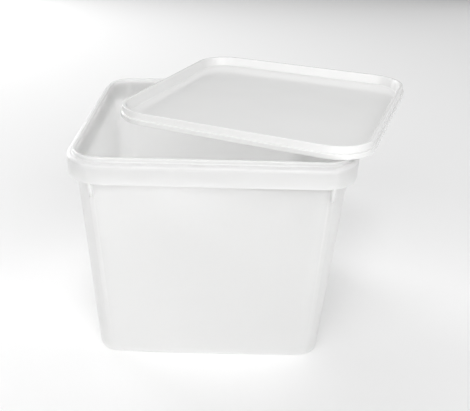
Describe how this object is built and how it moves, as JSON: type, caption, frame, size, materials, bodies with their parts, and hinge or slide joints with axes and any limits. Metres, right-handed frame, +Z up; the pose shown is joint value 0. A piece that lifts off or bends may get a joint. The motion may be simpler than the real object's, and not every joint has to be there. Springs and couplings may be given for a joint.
{
  "type": "square plastic ice cream tub with a loose lid",
  "caption": "Empty square plastic ice cream tub with tapered walls, a folded rim, and a loose recessed lid lying askew across the rim.",
  "frame": {"origin": "middle of the tub's flat base, on the surface it stands on", "axes": "+Z up, X and Y square to the tub's sides; the lid overhangs towards +X and +Y"},
  "size_m": [0.2669, 0.2487, 0.1798],
  "materials": {
    "tub_plastic": "satin white polypropylene, slightly translucent, fine moulded texture",
    "lid_plastic": "semi-gloss white polypropylene"
  },
  "bodies": {
    "root": {"tub": "tub_plastic", "lid": "lid_plastic"}
  },
  "joints": []
}
